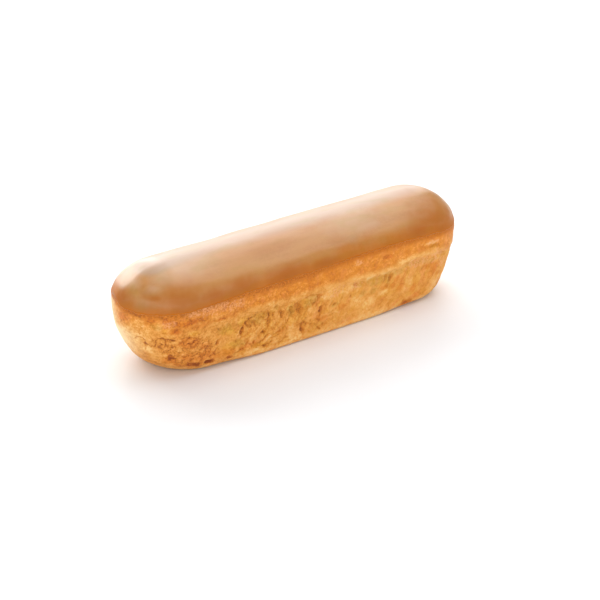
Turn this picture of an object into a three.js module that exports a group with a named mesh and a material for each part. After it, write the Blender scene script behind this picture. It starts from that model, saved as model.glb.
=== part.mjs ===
// An iced eclair: an oblong choux bun, piped as one log and baked on a flat tray, whose top
// was dipped in coffee fondant. The bun is one solid. The icing is a second solid, a thin
// domed cap with a rounded rim, which sits on the bun's top with a hairline gap under it.
//
// Frame: millimetres, +X along the bun towards its fuller end, +Y across it, +Z up. The
// origin lies in the flat base, under the middle of the whole outline.
//
// Both solids start as a turned section (LatheGeometry) and are then drawn out along X: the
// turned half-section goes round an oblong outline with two round ends and two long sides.

import * as THREE from 'three';

// The whole eclair.
const LENGTH = 150;
const WIDTH = 37;
const HEIGHT = 39.2;
const WIDEST_HEIGHT = 25; // where the sides stand upright, just under the icing's rim
const DOME_POWER = 1.93; // 2 would make the dome's section an ellipse

// The bun's foot.
const FOOT_SIDE_INSET = 1.0; // how far the long sides lean in, from the widest level to the base
const FOOT_END_INSET = { left: 11.5, right: 9.8 }; // the same at the tips, which lift off the tray
const FOOT_END_POWER = { left: 2.1, right: 1.8 };
const FOOT_RADIUS = 2.4; // the base's rounded edge along the sides
const FOOT_RADIUS_AT_TIP = { left: 5.6, right: 4.2 };

// The lip: the edge of the smooth upper crust, over the wall that tore open as the bun rose.
const LIP_HEIGHT = 19.1;
const LIP_RISE = 2.1; // a hump in the lip's line, on the front near the right tip
const LIP_RISE_AT = 0.975; // in turns round the outline
const LIP_RISE_HALF_LENGTH = 0.025;
const LIP_CREST = 0.5; // how far the crest stands out of the wall
const LIP_HALF_HEIGHT = 0.95;
const GROOVE_DEPTH = 0.9; // the hollow below the crest
const GROOVE_DROP = 2.1; // from the crest down to the hollow's deepest line
const GROOVE_HALF_HEIGHT = 1.4;
const BAND_INSET = 0.25; // the upper crust lies this far inside the icing's rim
const TEAR_HEIGHT = 11; // the middle of the torn wall
const TEAR_HALF_HEIGHT = 6;
const TEAR_RIPPLE = 0.3; // how far its ripples stand in and out
const SAG = 0.35; // the same for the long, slow swells of the whole wall

// The icing.
const RIM_HEIGHT = 26.2;
const RIM_RISE_ALONG_X = 0.013; // the rim climbs towards +X, from a slanted dip in the fondant
const ICING_ON_TOP = 1.6;
const ICING_AT_RIM = 1.0;
const GAP = 0.35; // between icing and bun
const SHOULDER = 0.6; // how far below the icing the crust starts to bend in under it

// How finely the solids are faceted. The rows are heights on the wall.
const COLUMNS = 96; // round the outline, a multiple of 6
const FOOT_ROWS = 3; // on the base's rounded edge
const TEAR_ROWS = [FOOT_RADIUS, 5.5, 9, 12.5];
const LIP_ROWS = [-3.6, -2.7, -1.9, -1.0, -0.3, 0.5, 1.5]; // from LIP_HEIGHT
const BAND_ROW = 23;
const DOME_ROWS = 8;

const HALF_WIDTH = WIDTH / 2;
const HALF_SPINE = LENGTH / 2 - HALF_WIDTH; // half the straight part of the outline
const DOME_HEIGHT = HEIGHT - WIDEST_HEIGHT;
const UNDER_ICING_HALF_WIDTH = HALF_WIDTH - ICING_AT_RIM - GAP;
const TAU = 2 * Math.PI;

const bell = (x) => Math.exp(-x * x);

// A swell that runs a whole number of times round the outline. from is its phase, in turns.
const swell = (turn, times, from) => Math.sin(TAU * (times * turn + from));

// Where a turn, 0 to 1, lies on the outline. A sixth of the turn goes round each tip, and a
// third along each side: right tip, back side, left tip, front side. spine is the place
// along X, -1 to 1, of the spine point behind it, and (nx, ny) points outwards.
function outlineAt(turn) {
  const sixths = (((turn % 1) + 1) % 1) * 6;
  if (sixths < 1) {
    const angle = (sixths - 0.5) * Math.PI;
    return { spine: 1, nx: Math.cos(angle), ny: Math.sin(angle) };
  }
  if (sixths < 3) return { spine: 2 - sixths, nx: 0, ny: 1 };
  if (sixths < 4) {
    const angle = (sixths - 2.5) * Math.PI;
    return { spine: -1, nx: Math.cos(angle), ny: Math.sin(angle) };
  }
  return { spine: sixths - 5, nx: 0, ny: -1 };
}

// How far a level's spine is shortened at the tip that a place belongs to.
function tipInset(place, height) {
  const end = place.spine < 0 ? 'left' : 'right';
  const below = Math.max(0, 1 - height / WIDEST_HEIGHT);
  return (FOOT_END_INSET[end] - FOOT_SIDE_INSET) * below ** FOOT_END_POWER[end];
}

// How far the rounded edge of the given radius lies inside the upright wall at a height.
function roundingInset(height, radius) {
  const below = Math.max(0, radius - height);
  return radius - Math.sqrt(radius * radius - below * below);
}

// The base's rounding grows towards the tips. This is what it adds to the section's own.
function extraRounding(place, height) {
  const end = place.spine < 0 ? 'left' : 'right';
  const nearTip = THREE.MathUtils.smoothstep(Math.abs(place.spine), 0.5, 1);
  const radius = THREE.MathUtils.lerp(FOOT_RADIUS, FOOT_RADIUS_AT_TIP[end], nearTip);
  return roundingInset(height, radius) - roundingInset(height, FOOT_RADIUS);
}

// How far the icing's rim lies above or below RIM_HEIGHT.
function rimDrift(turn) {
  const slant = RIM_RISE_ALONG_X * HALF_SPINE * outlineAt(turn).spine;
  return slant + 0.28 * swell(turn, 3, 0.1) + 0.16 * swell(turn, 7, 0.35);
}

// How far the lip's crest lies above or below LIP_HEIGHT.
function lipDrift(turn) {
  const fromHump = ((turn - LIP_RISE_AT + 1.5) % 1) - 0.5;
  return 0.4 * swell(turn, 3, 0.643) + LIP_RISE * bell(fromHump / LIP_RISE_HALF_LENGTH);
}

// The lip shows along most of each side and round the right tip, and dies out at the left.
const lipStrength = (place) => THREE.MathUtils.smoothstep(place.spine, -0.7, -0.35);

// What the crust's relief adds to the section's radius.
function crustRelief(turn, height) {
  const fromLip = height - LIP_HEIGHT - lipDrift(turn);
  const crest = LIP_CREST * bell(fromLip / LIP_HALF_HEIGHT);
  const groove = GROOVE_DEPTH * bell((fromLip + GROOVE_DROP) / GROOVE_HALF_HEIGHT);
  const lip = lipStrength(outlineAt(turn)) * (crest - groove);
  const inTear = bell((height - TEAR_HEIGHT) / TEAR_HALF_HEIGHT);
  const ripple = TEAR_RIPPLE * (0.6 * swell(turn, 13, 0.2) + 0.4 * swell(turn, 29, 0.8));
  const sag = SAG * (0.6 * swell(turn, 2, 0.1) + 0.4 * swell(turn, 5, 0.55));
  const belowRim = 1 - THREE.MathUtils.smoothstep(height, WIDEST_HEIGHT - 2, WIDEST_HEIGHT);
  return lip + belowRim * (sag + inTear * ripple);
}

// How far a level is moved up or down, so that rows of facets follow the lip and the rim.
// Above the rim the drift dies out towards the spine.
function levelDrift(turn, level, turned) {
  const { lerp, clamp } = THREE.MathUtils;
  if (level <= LIP_HEIGHT) {
    return lipDrift(turn) * clamp((level - FOOT_RADIUS) / (LIP_HEIGHT - FOOT_RADIUS), 0, 1);
  }
  if (level <= RIM_HEIGHT) {
    const share = (level - LIP_HEIGHT) / (RIM_HEIGHT - LIP_HEIGHT);
    return lerp(lipDrift(turn), rimDrift(turn), share);
  }
  return rimDrift(turn) * Math.min(1, turned / UNDER_ICING_HALF_WIDTH) ** 2;
}

// Draws a turned section out into the eclair's oblong. The section's axis becomes the spine.
// LatheGeometry lists its vertices column by column, each column from the section's start.
function drawOut(section, relief) {
  const geometry = new THREE.LatheGeometry(section, COLUMNS);
  const position = geometry.getAttribute('position');
  for (let i = 0; i < position.count; i++) {
    const column = Math.floor(i / section.length) % COLUMNS;
    const { x: turned, y: level } = section[i % section.length];
    const turn = column / COLUMNS;
    const place = outlineAt(turn);
    const height = level + levelDrift(turn, level, turned);
    const onWall = turned > HALF_WIDTH / 2 ? 1 : 0;
    const radius = turned + onWall * (relief(turn, height) - extraRounding(place, height));
    const spineX = place.spine * (HALF_SPINE - tipInset(place, height));
    position.setXYZ(i, spineX + radius * place.nx, radius * place.ny, height);
  }
  geometry.computeVertexNormals();
  return geometry;
}

// The section of a dome, from the angle (0 at its foot, a quarter turn at its top).
function domePoint(halfWidth, rise, angle) {
  const power = 2 / DOME_POWER;
  return new THREE.Vector2(
    halfWidth * Math.cos(angle) ** power,
    WIDEST_HEIGHT + rise * Math.sin(angle) ** power,
  );
}

// The rows of a dome above a level, from there to the top, which lies on the axis.
function domeRows(halfWidth, rise, fromHeight) {
  const sine = ((fromHeight - WIDEST_HEIGHT) / rise) ** (DOME_POWER / 2);
  const start = Math.asin(sine);
  const rows = [];
  for (let i = 0; i < DOME_ROWS; i++) {
    rows.push(domePoint(halfWidth, rise, start + ((Math.PI / 2 - start) * i) / DOME_ROWS));
  }
  rows.push(new THREE.Vector2(0, WIDEST_HEIGHT + rise));
  return rows;
}

function bunSection() {
  const footHalf = HALF_WIDTH - FOOT_SIDE_INSET - BAND_INSET;
  const wall = (height) =>
    new THREE.Vector2(footHalf + FOOT_SIDE_INSET * Math.min(1, height / WIDEST_HEIGHT), height);
  const rows = [new THREE.Vector2(0, 0)];
  for (let i = 0; i < FOOT_ROWS; i++) {
    const angle = (i / FOOT_ROWS) * (Math.PI / 2);
    rows.push(
      new THREE.Vector2(
        footHalf - FOOT_RADIUS * (1 - Math.sin(angle)),
        FOOT_RADIUS * (1 - Math.cos(angle)),
      ),
    );
  }
  const lipRows = LIP_ROWS.map((fromLip) => LIP_HEIGHT + fromLip);
  const bandTop = RIM_HEIGHT - GAP - SHOULDER;
  rows.push(...[...TEAR_ROWS, ...lipRows, BAND_ROW, bandTop].map(wall));
  const rise = DOME_HEIGHT - ICING_ON_TOP - GAP;
  rows.push(...domeRows(UNDER_ICING_HALF_WIDTH, rise, RIM_HEIGHT - GAP));
  return rows;
}

function icingSection() {
  const inner = domeRows(
    HALF_WIDTH - ICING_AT_RIM,
    DOME_HEIGHT - ICING_ON_TOP,
    RIM_HEIGHT + ICING_AT_RIM / 2,
  );
  const outer = domeRows(HALF_WIDTH, DOME_HEIGHT, RIM_HEIGHT + ICING_AT_RIM / 2);
  const rimRadius = ICING_AT_RIM / 2;
  const rimCentre = HALF_WIDTH - rimRadius;
  const rim = [-60, 0, 60].map((degrees) => {
    const angle = THREE.MathUtils.degToRad(degrees);
    return new THREE.Vector2(
      rimCentre + rimRadius * Math.sin(angle),
      RIM_HEIGHT + rimRadius * (1 - Math.cos(angle)),
    );
  });
  return [...inner.reverse(), ...rim, ...outer];
}

function makeBun() {
  const material = new THREE.MeshStandardMaterial({
    name: 'choux_crust',
    color: '#d98f47',
    roughness: 0.62,
    metalness: 0,
  });
  const mesh = new THREE.Mesh(drawOut(bunSection(), crustRelief), material);
  mesh.name = 'choux_bun';
  return mesh;
}

function makeIcing() {
  const material = new THREE.MeshStandardMaterial({
    name: 'coffee_icing',
    color: '#c98d55',
    roughness: 0.28,
    metalness: 0,
  });
  const mesh = new THREE.Mesh(drawOut(icingSection(), () => 0), material);
  mesh.name = 'coffee_icing';
  return mesh;
}

const eclair = new THREE.Group();
eclair.add(makeBun(), makeIcing());

export default eclair;
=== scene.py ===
"""The looks of an iced eclair: a baked choux bun and its coffee icing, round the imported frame.

The shaping functions work in millimetres. The meshes are scaled to metres when they are made.
A place on the bun's wall is given by its distance along the outline, from the tip at -X round
the front (-Y) side, and by its height.
"""

import math

import bpy
import numpy as np
from mathutils import Matrix, Vector, noise


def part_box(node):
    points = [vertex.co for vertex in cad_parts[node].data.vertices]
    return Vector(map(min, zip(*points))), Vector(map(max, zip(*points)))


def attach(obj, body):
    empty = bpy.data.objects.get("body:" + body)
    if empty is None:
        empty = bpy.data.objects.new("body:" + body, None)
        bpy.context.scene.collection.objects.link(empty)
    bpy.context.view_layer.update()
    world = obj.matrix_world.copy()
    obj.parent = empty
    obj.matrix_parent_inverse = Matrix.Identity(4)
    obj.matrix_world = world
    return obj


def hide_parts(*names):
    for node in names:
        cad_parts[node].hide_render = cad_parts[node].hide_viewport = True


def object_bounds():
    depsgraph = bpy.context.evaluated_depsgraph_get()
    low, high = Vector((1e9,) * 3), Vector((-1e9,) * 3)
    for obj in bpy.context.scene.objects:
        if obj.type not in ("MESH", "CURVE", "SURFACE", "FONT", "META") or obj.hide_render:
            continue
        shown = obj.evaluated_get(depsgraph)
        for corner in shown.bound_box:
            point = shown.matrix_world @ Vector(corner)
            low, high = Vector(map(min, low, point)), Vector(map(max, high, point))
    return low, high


bl_info = {
    "name": "Iced Eclair",
    "version": (1, 0, 0),
    "blender": (4, 5, 0),
    "location": "View3D > Sidebar > Eclair",
    "description": "Makes a choux bun with torn sides and a glossy coffee icing",
    "category": "Add Mesh",
}

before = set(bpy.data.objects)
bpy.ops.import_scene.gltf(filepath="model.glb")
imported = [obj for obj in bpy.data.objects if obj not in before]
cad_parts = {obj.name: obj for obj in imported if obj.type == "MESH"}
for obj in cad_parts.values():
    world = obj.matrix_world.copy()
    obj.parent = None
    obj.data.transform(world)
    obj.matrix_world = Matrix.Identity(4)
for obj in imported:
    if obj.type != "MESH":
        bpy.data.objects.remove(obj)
CAD_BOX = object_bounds()

MM = 0.001
ICING_LOW, ICING_HIGH = (np.array(corner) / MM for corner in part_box("coffee_icing"))

# The outline seen from above: a straight spine with half the width all round it.
LENGTH, WIDTH = ICING_HIGH[:2] - ICING_LOW[:2]
HALF_WIDTH = WIDTH / 2
HALF_SPINE = (LENGTH - WIDTH) / 2
QUARTER = math.pi / 2 * HALF_WIDTH
PERIMETER = 4 * HALF_SPINE + 4 * QUARTER

# The dome above the widest level.
HEIGHT = ICING_HIGH[2]
WIDEST_HEIGHT = 25
DOME_HEIGHT = HEIGHT - WIDEST_HEIGHT
DOME_POWER = 1.93

# The foot: how far it draws in at the sides and at each tip, and its rounded edge.
FOOT_SIDE_INSET = 1
FOOT_TIP_INSET = {-1: 10.5, 1: 8.8}
FOOT_TIP_POWER = {-1: 2.1, 1: 1.8}
FOOT_RADIUS = 1.7
FOOT_RADIUS_AT_TIP = {-1: 5.6, 1: 4.2}

# How far the crust lies inside the icing's surface, at the rim and on top.
COVER_AT_RIM = 0.16
COVER_ON_TOP = 1.6

# The usual heights of the icing's rim and of the lip where the upper crust tore from the wall.
RIM_HEIGHT = 26.2
RIM_RISE_ALONG_X = 0.013
LIP_HEIGHT = 19.1

# How far the torn wall's strokes lean as they rise, and how fast its layers and flakes climb.
STROKE_LEAN = 0.45
LAYER_CLIMB = 0.32
FLAKE_CLIMB = 0.35

# The heights between which the strokes and flakes turn from upright, above, to flat, below.
FLAT_BELOW = (6, 9)

# The spacing of the crust's points, and how many columns the icing has.
CRUST_STEP = 0.37
ICING_COLUMNS = 1200

# Where a patch's edge starts and stops fading, in shares of its half sizes.
CRISP_EDGE = (0.4, 1.1)
SOFT_EDGE = (0.2, 1.4)
HAZY_EDGE = (0.1, 1.4)
CLOUDY_EDGE = (0, 1.6)
STAIN_EDGE = (0, 1.7)

# How far each kind of mark stands out of the crust, in millimetres, and how much paler it is.
# The deepest pit goes in as far as is given here, and the other pits less.
MARK_RELIEF = {"strands": 0.15, "creases": -0.36, "cracks": -0.36, "scorches": -0.12, "pits": -0.85}
# The darkening of cracks and creases is painted shade in them.
MARK_TONE = {
    "pale": 0.16,
    "strands": 0.07,
    "scorches": -0.46,
    "cracks": -0.48,
    "creases": -0.26,
    "olive": -0.03,
    "toasted": -0.17,
}

# The hardly browned left tip, which is partly painted light from behind: place and half length, low
# on the wall and up to the icing.
DOUGHY_AND_LIT_LOW = (-6, 9)
DOUGHY_AND_LIT_HIGH = (-12, 7.5)

# Where the hollow below the lip has no painted shade: place and half length.
UNSHADED_LIP = (136, 9)

# Where the glaze below the icing reaches further down: place, half length and how much further.
SUNK_GLAZE = ((72, 14, 0.9), (125, 16, 0.6))

# Where the icing's painted sheen on top comes down over the left tip: place and half length.
LOW_CROWN_SHEEN = (0, 22)


# Fields over the wall


def smoothstep(value, low, high):
    """0 below low, 1 above high, and a smooth rise between them."""
    t = np.clip((value - low) / (high - low), 0, 1)
    return t * t * (3 - 2 * t)


def bell(value):
    return np.exp(-value * value)


def along(distance, place):
    """The signed way along the outline from a place to each distance, the short way round."""
    return np.mod(distance - place + PERIMETER / 2, PERIMETER) - PERIMETER / 2


def near(distance, place, half_length):
    """1 at a place along the outline, and less and less away from it."""
    return bell(along(distance, place) / half_length)


def outline_at(distance):
    """The spine point's x behind each distance along the outline, and the outward normal."""
    d = np.mod(distance, PERIMETER)
    front_end = QUARTER + 2 * HALF_SPINE
    back_start = front_end + 2 * QUARTER
    back_end = back_start + 2 * HALF_SPINE
    angle = math.pi + np.minimum(d, QUARTER) / HALF_WIDTH
    angle += np.clip(d - front_end, 0, 2 * QUARTER) / HALF_WIDTH
    angle += np.clip(d - back_end, 0, QUARTER) / HALF_WIDTH
    on_front = np.clip(d - QUARTER, 0, 2 * HALF_SPINE)
    on_back = np.clip(d - back_start, 0, 2 * HALF_SPINE)
    return -HALF_SPINE + on_front - on_back, np.cos(angle), np.sin(angle)


def noise_field(points, size, octaves=1, offset=0):
    """Noise from about -1 to 1, whose lumps have the given size, or size along each axis."""
    scaled = points / np.array(size) + offset
    values = [noise.fractal(p, 0.8, 2.1, octaves) for p in scaled.reshape(-1, 3)]
    return np.array(values).reshape(points.shape[:-1])


def cell_pits(points, size, share, radius, offset=0):
    """1 in the middle of scattered pits and 0 outside them. Only a share of the cells has one."""
    scaled = (points / np.array(size) + offset).reshape(-1, 3)
    depth = np.zeros(len(scaled))
    for i, point in enumerate(scaled):
        distances, centres = noise.voronoi(point)
        if (noise.cell(centres[0] * 7.3) + 1) / 2 < share:
            depth[i] = 1 - distances[0] / radius
    return smoothstep(depth, 0, 0.7).reshape(points.shape[:-1])


def distance_to_line(distance, height, line):
    """How far each place on the wall is from a line through the given places."""
    nearest = np.full(np.broadcast(distance, height).shape, np.inf)
    for (s0, z0), (s1, z1) in zip(line, line[1:]):
        ds, dz = s1 - s0, z1 - z0
        from_s, from_z = along(distance, s0), height - z0
        t = np.clip((from_s * ds + from_z * dz) / (ds * ds + dz * dz), 0, 1)
        nearest = np.minimum(nearest, np.hypot(from_s - t * ds, from_z - t * dz))
    return nearest


def line_field(distance, height, lines, half_width):
    """1 along thin lines on the wall and 0 away from them."""
    nearest = [distance_to_line(distance, height, line) for line in lines]
    return bell(np.minimum.reduce(nearest) / half_width)


def patch_field(distance, height, patches, unevenness, edge=CRISP_EDGE):
    """1 inside patches with uneven edges: place, height, half length and half height."""
    inside = np.zeros_like(height)
    for place, z, half_length, half_height in patches:
        reach = np.hypot(along(distance, place) / half_length, (height - z) / half_height)
        inside = np.maximum(inside, 1 - smoothstep(reach + unevenness, *edge))
    return inside


def smooth_through(distance, stops):
    """A smooth closed curve of heights through the given stops along the outline."""
    places, heights = np.array(stops).T
    places = np.concatenate([places[-2:] - PERIMETER, places, places[:3] + PERIMETER])
    heights = np.concatenate([heights[-2:], heights, heights[:3]])
    d = np.mod(distance, PERIMETER)
    i = np.clip(np.searchsorted(places, d, side="right") - 1, 1, len(places) - 3)
    step = places[i + 1] - places[i]
    t = (d - places[i]) / step
    slope = (heights[2:] - heights[:-2]) / (places[2:] - places[:-2])
    return (
        (2 * t**3 - 3 * t**2 + 1) * heights[i]
        + (t**3 - 2 * t**2 + t) * (slope[i - 1] * step)
        + (3 * t**2 - 2 * t**3) * heights[i + 1]
        + (t**3 - t**2) * (slope[i] * step)
    )


# The bun's form

# Where the lip's crest runs: distance along the outline and height.
LIP_LINE = (
    (20, 19), (56, 18.3), (72, 18.1), (85, 18.3), (97, 18), (105, 17.9), (118, 17.5), (124, 18),
    (129, 19.2), (134, 19.7), (141, 19.4), (152, 19), (171, 18.8), (200, 19.3), (236, 19.9),
    (270, 19), (310, 19.5),
)

# How the icing's rim wanders up and down from its straight, slanting line.
RIM_LINE = (
    (1, 0.55), (5, 0.3), (14, -0.15), (25, -0.3), (34, -0.3), (50, 0.2), (64, 0.2), (76, 0.3),
    (86, 0.2), (102, 0.6), (117, 0.6), (133, 0.1), (152, -0.8), (171, -0.6), (205, 0.2),
    (230, -0.2), (262, 0.3), (300, -0.2), (320, 0.5), (330, 1.7), (335, 2.2), (339, 1.7),
)

# How clearly the lip stands out: distance along the outline and strength.
LIP_STRENGTH = (
    (0, 0), (24, 0), (46, 0.1), (58, 0.35), (70, 0.3), (80, 0.5), (88, 0.25), (95, 0.2), (101, 0.6),
    (106, 1), (126, 1), (136, 0.8), (146, 0.45), (156, 0.7), (171, 0.5), (190, 0.7), (212, 1),
    (240, 0.5), (262, 0.9), (296, 0.7), (318, 0.1), (332, 0),
)

# Fine cracks in the smooth crust near the left tip, darkened as painted shade in them. Each line of
# marks, here and below, runs through points that are given by their place and height.
CRACKS = (
    ((5.6, 15.5), (6.4, 16.3), (7.7, 16.5), (8.7, 16), (9.3, 15), (8.9, 14.1)),
    ((8.9, 14.1), (9.9, 13.5), (11, 12.9), (12.2, 12.9), (12.9, 13.9), (13.4, 15.3), (14.4, 16.4)),
    ((14.4, 16.4), (16.2, 16.6), (18, 16.1), (20.3, 15.4)),
    ((16.9, 16.3), (16.9, 15.3), (16.6, 14.3)), ((9, 13.8), (8.7, 12.4), (7.8, 11)),
    ((25, 15.3), (26.8, 15.6), (28.4, 14.7)), ((24.6, 13.5), (26.2, 13.1), (27.4, 13.7)),
    ((318, 15.5), (321.5, 13.8), (325.5, 14.6), (329, 13.4)),
)

# Creases in the torn wall, darkened as painted shade in them.
CREASES = (
    ((30.5, 5.8), (33, 6.8), (35.4, 8.3)), ((41.5, 4.2), (44.2, 4.5), (46.6, 5.2), (49.2, 6.5)),
    ((54.6, 5.5), (56.4, 5.8), (58.2, 6.8), (60.2, 7.5)), ((56.2, 3.7), (58.6, 3.9), (61.4, 4.8)),
    ((66, 14.9), (67.3, 15), (68.4, 14.5)), ((75.7, 7.3), (78.6, 7.2), (81.8, 6.2), (84.2, 5.3)),
    ((79.2, 17.2), (81.2, 17.5), (83.2, 17.1), (85, 16.6)),
    ((138.4, 22.2), (141, 22.4), (143.4, 21.7)), ((143.4, 19), (145, 18.2), (147, 18)),
    ((212, 10), (216, 11), (221, 10.4)), ((246, 8), (250, 9.2), (255, 8.8)),
    ((278, 9), (283, 10.4), (287, 10)),
)

# Pale strands of stretched dough on the torn wall.
STRANDS = (
    ((35.4, 10.9), (37, 11.9), (38.8, 13)), ((31.4, 6.7), (34, 8.1), (36.4, 9.6)),
    ((48, 3.9), (52, 4.3), (55.5, 4.9), (58.5, 5.9), (61.4, 7.4)),
    ((56, 14.6), (57.2, 11.8), (57, 9.8)), ((69.6, 10), (70.4, 13), (70, 15.4)),
    ((79.5, 8.6), (80.6, 10.6), (82.4, 12.8)), ((88.4, 9.8), (89.6, 11.6), (92, 12.6)),
    ((88, 6), (91, 6.6), (94, 6.2)), ((134.6, 23.9), (138.5, 24.1), (142.5, 23.5)),
    ((141, 20.2), (143.2, 20.4), (145.2, 19.9)), ((210, 5.5), (217, 7), (224, 6.4)),
    ((243, 6), (245, 10), (243.8, 14)), ((268, 8), (275, 6.6), (283, 7.6)),
)

# Pits where the wall tore open: place, height, half length, half height, turn in degrees and
# depth, which is 1 for the deepest.
PITS = (
    (36.8, 10.5, 1.4, 0.6, 35, 0.95), (38.5, 15.8, 1, 0.4, -25, 0.45), (38, 17.6, 2.6, 1, 0, 0.2),
    (28.6, 3.9, 2.2, 0.8, 0, 0.9), (21.8, 4.6, 1.7, 0.8, 0, 0.3), (48.5, 11.8, 1.9, 1.1, 55, 0.9),
    (46.5, 10.7, 0.8, 0.4, 0, 0.45), (51, 14, 1.4, 0.5, 112, 0.6),
    (54.7, 13.3, 1.4, 0.55, 85, 0.45), (53.2, 15.7, 0.9, 0.4, 20, 0.45),
    (58, 8.8, 1.5, 0.7, -10, 0.8), (50.3, 5.8, 0.8, 0.45, 0, 0.55), (52.1, 6.1, 0.8, 0.55, 30, 0.8),
    (56.2, 3.6, 0.9, 0.5, -30, 0.45), (57.3, 2.7, 0.7, 0.4, 0, 0.5),
    (61.7, 15.1, 1.1, 0.8, 80, 0.6), (61, 12.3, 2.6, 0.85, 80, 0.5),
    (65.3, 17.2, 1, 0.75, 20, 0.45), (63.4, 14.6, 1.4, 0.9, 80, 0.25),
    (67.3, 13.4, 1.4, 0.5, 95, 0.65), (71.8, 14.6, 1.4, 0.9, 90, 0.5),
    (71.8, 12.2, 1.1, 0.7, 90, 0.2), (73.7, 15.9, 0.8, 0.35, 35, 0.55),
    (76, 13.4, 2.1, 1.5, 90, 0.7), (73.6, 10.2, 1.1, 0.45, 50, 0.3),
    (80.9, 15.8, 0.7, 0.45, 0, 0.35), (82.3, 14.1, 0.7, 0.55, 0, 0.35),
    (85.3, 15.3, 0.8, 0.55, 60, 0.4), (85.5, 13.6, 0.7, 0.45, 60, 0.35),
    (86.1, 10.8, 1.4, 1.1, 80, 1), (76.6, 5.1, 2.1, 1.1, 104, 0.65),
    (85.3, 3.4, 1.3, 0.5, -40, 0.65), (92.9, 10.9, 1.2, 0.5, 10, 0.5),
    (92.3, 8.8, 0.6, 0.4, 0, 0.35), (101.1, 12.1, 0.7, 0.45, 90, 0.65),
    (103.4, 15.9, 1.3, 0.8, -15, 0.5), (107.6, 11.8, 1.2, 1, 70, 0.2),
    (112.1, 11.5, 1.3, 1, 20, 0.2), (118.2, 14.4, 1.9, 1, 70, 0.3),
    (120.7, 14.5, 1.7, 1.1, 60, 0.65), (116.9, 5.3, 1.7, 1, -50, 0.1),
    (133.9, 2.2, 1.7, 0.7, -20, 0.3), (33.7, 20.5, 0.6, 0.4, 0, 0.4),
    (121.3, 24.4, 0.6, 0.5, 0, 0.4), (206, 12, 1.5, 0.9, 80, 0.9), (221.5, 13.5, 1.7, 1.1, 100, 1),
    (229, 8, 1, 0.9, 0, 0.7), (238.5, 11.5, 2, 0.7, 75, 0.8), (252, 14, 1.5, 1.2, 60, 1),
    (258, 6.5, 1.1, 0.8, 20, 0.7), (273, 12.5, 1.7, 0.9, 110, 0.9), (290, 10, 1.1, 0.8, 60, 0.7),
)

# Scorched spots, mostly near the tray: place, height, half length and half height.
SCORCHES = (
    (9, 13.9, 1, 0.7), (16.2, 8.4, 1.7, 1.2), (21.8, 4.3, 3.4, 1.7), (28.7, 3.9, 2.6, 1.2),
    # The two at places 133 and 134 are dark spots where the right tip's foot meets the tray.
    (38.2, 3.1, 2.6, 0.9), (134, 2.1, 4.2, 1.8), (133.3, 2.4, 2.2, 1.3), (188, 4.5, 1.8, 1),
    (214, 3, 1.4, 0.7), (265, 3.6, 1.8, 0.9), (301, 4.2, 1.6, 0.9),
)

# Redder, more baked patches: place, height, half length and half height.
BAKED_PATCHES = (
    (25.2, 13.5, 4.6, 2.5), (15, 6.8, 4, 2.6), (27, 6.6, 7, 2.8), (39, 5.4, 7, 1.7),
    (46.5, 5.2, 4.5, 1), (26, 21.4, 7, 1.8), (20.5, 18.8, 3.8, 1.9), (21.5, 8, 3.6, 1.6),
    (31.5, 18.8, 5, 1.1), (41, 19.2, 7, 1.3), (30.8, 10.7, 2.4, 1.2), (49, 7.8, 1.4, 0.9),
    (88, 6.8, 2, 1.1), (18.5, 22.8, 3.2, 1.8), (17.8, 20.9, 2.2, 1.4), (1, 22.4, 2.8, 1.6),
    (13.4, 23.4, 1.8, 1.1), (66.3, 7.1, 2, 0.6), (84.8, 7.8, 1.5, 1.6), (97, 9.2, 4.2, 1.3),
    (118, 11.4, 2.2, 1.2), (119, 23.2, 3, 1.2), (122.6, 10.9, 2, 1.2), (124.6, 13.4, 1.8, 1.6),
    (126.5, 12.4, 1.8, 2), (134.8, 7.2, 2.3, 2), (139, 4, 2.8, 1.5), (127, 9.6, 2.4, 1.8),
    (140, 14.2, 2.4, 1.4), (142.8, 13, 3, 3), (147, 10.3, 1.4, 0.9), (149, 19.6, 3, 1.6),
    (182, 11, 5, 3), (232, 10, 6, 2.5), (285, 9, 6, 3), (312, 10, 6, 4),
)

# Darker, toasted patches of the band: place, height, half length and half height.
TOASTED_PATCHES = (
    (25.6, 21.4, 5.4, 1.9), (29.8, 21.2, 4.2, 1.2), (20.9, 19.2, 2.4, 1.7), (40.2, 19, 3.4, 0.8),
    (206, 21.6, 9, 1.2), (268, 21.2, 8, 1.4), (303, 22, 5, 1.2),
)

# Paler, hardly browned patches, of which the first two, at the left tip, are partly painted light
# from behind: place, height, half length and half height.
PALE_AND_LIT_PATCHES = (
    (-6, 13, 10, 10), (5, 16.5, 7.5, 4.5), (8, 11.5, 4, 2.4), (8.8, 21.4, 2, 4.6),
    (72.6, 4.4, 4.6, 3.6), (52, 3, 7, 1.3), (25.6, 13.4, 2.2, 1), (28.4, 16.7, 2.4, 1.1),
    (48.8, 15.9, 1.8, 1.4), (31, 10.6, 2.6, 1.6), (49, 7.8, 1.8, 1.3), (88.2, 7, 2.6, 1.7),
    (82, 11.4, 2.6, 1.6), (89.4, 15.8, 4, 2.8), (99.4, 15.4, 2.4, 2.4), (104, 9, 3.6, 2.6),
    (109, 16.6, 2.6, 1.2), (124.5, 19.6, 3, 1.2), (111, 7.4, 3.8, 2.4), (138.5, 23.7, 5, 1),
    (118, 9.2, 2.6, 1.2), (131, 10.2, 3.2, 2.2), (148, 6.4, 5, 3), (168, 12, 8, 6),
    (222, 17, 8, 1.6), (250, 5, 7, 2.4), (276, 14, 6, 2.6),
)
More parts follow.
